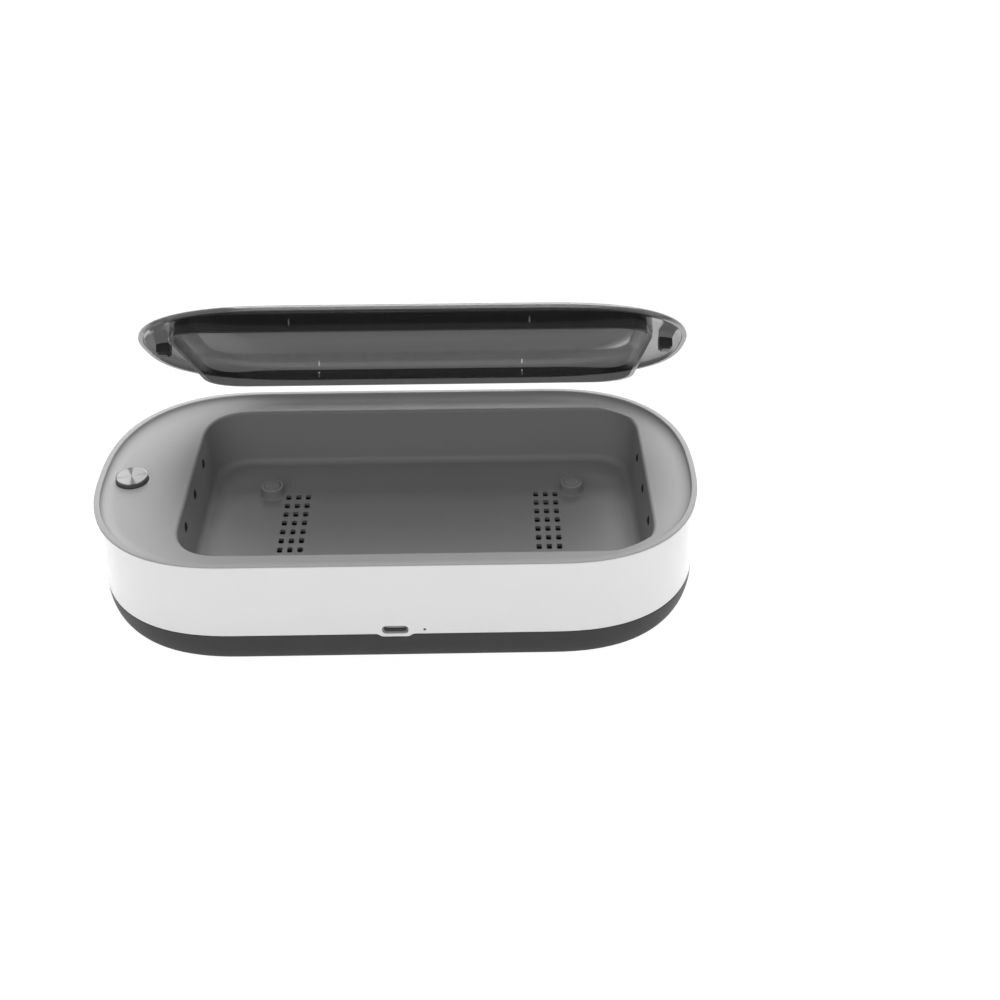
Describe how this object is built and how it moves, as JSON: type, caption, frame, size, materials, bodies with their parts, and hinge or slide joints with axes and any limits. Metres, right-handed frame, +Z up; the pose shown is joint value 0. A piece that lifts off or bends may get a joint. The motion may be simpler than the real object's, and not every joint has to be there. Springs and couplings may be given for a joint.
{
  "type": "uv sanitizer box",
  "caption": "Low stadium-shaped ultraviolet box for a phone, with a white wall, dark rounded base, grey tub, round push button and a smoked lift-off lid.",
  "frame": {"origin": "centre of the box on the surface that it stands on", "axes": "+X along the length, away from the button; -Y towards the cable socket; +Z up"},
  "size_m": [0.225, 0.1171, 0.1278],
  "materials": {
    "white_shell": "satin",
    "tub_grey": "fine matt",
    "base_dark": "matt",
    "foot_rubber": "matt",
    "screw_steel": "plain",
    "board_green": "satin",
    "chip_black": "matt",
    "socket_steel": "plain",
    "lamp_cream": "plain",
    "pipe_clear": "clear",
    "window_quartz": "clear",
    "lead_red": "satin",
    "lead_blue": "satin",
    "magnet_nickel": "plated",
    "pad_silicone": "matt",
    "button_metal": "turned",
    "lid_smoke": "smoked, polished",
    "holder_black": "matt"
  },
  "bodies": {
    "box": {"outer_shell": "white_shell", "inner_tub": "tub_grey", "base_cover": "base_dark", "rubber_feet": "foot_rubber", "base_screws": "screw_steel", "main_board": "board_green", "board_components": "chip_black", "board_screws": "screw_steel", "usb_c_receptacle": "socket_steel", "status_led": "lamp_cream", "light_pipe": "pipe_clear", "switch_board": "board_green", "button_switch": "chip_black", "led_board_left": "board_green", "led_board_right": "board_green", "uvc_leds_left": "lamp_cream", "uvc_leds_right": "lamp_cream", "led_windows_left": "window_quartz", "led_windows_right": "window_quartz", "led_lead_left": "lead_red", "led_lead_right": "lead_red", "button_lead": "lead_blue", "deck_magnets": "magnet_nickel", "lid_sensor": "chip_black", "phone_rest_pads": "pad_silicone"},
    "button": {"button_cap": "button_metal", "switch_plunger": "chip_black"},
    "lid": {"lid_cover": "lid_smoke", "lid_magnet_holders": "holder_black", "lid_magnets": "magnet_nickel"}
  },
  "joints": [
    {"name": "lid_tip", "type": "hinge", "parent": "box", "child": "lid", "pos_m": [0, 0.0643, 0.0461], "axis": [1, 0, 0], "range_deg": [0, 42.3]},
    {"name": "button_press", "type": "slide", "parent": "box", "child": "button", "axis": [0, 0, -1], "range_m": [0, 0.0008], "stiffness_N_per_m": 400, "springref_m": -0.0008}
  ]
}
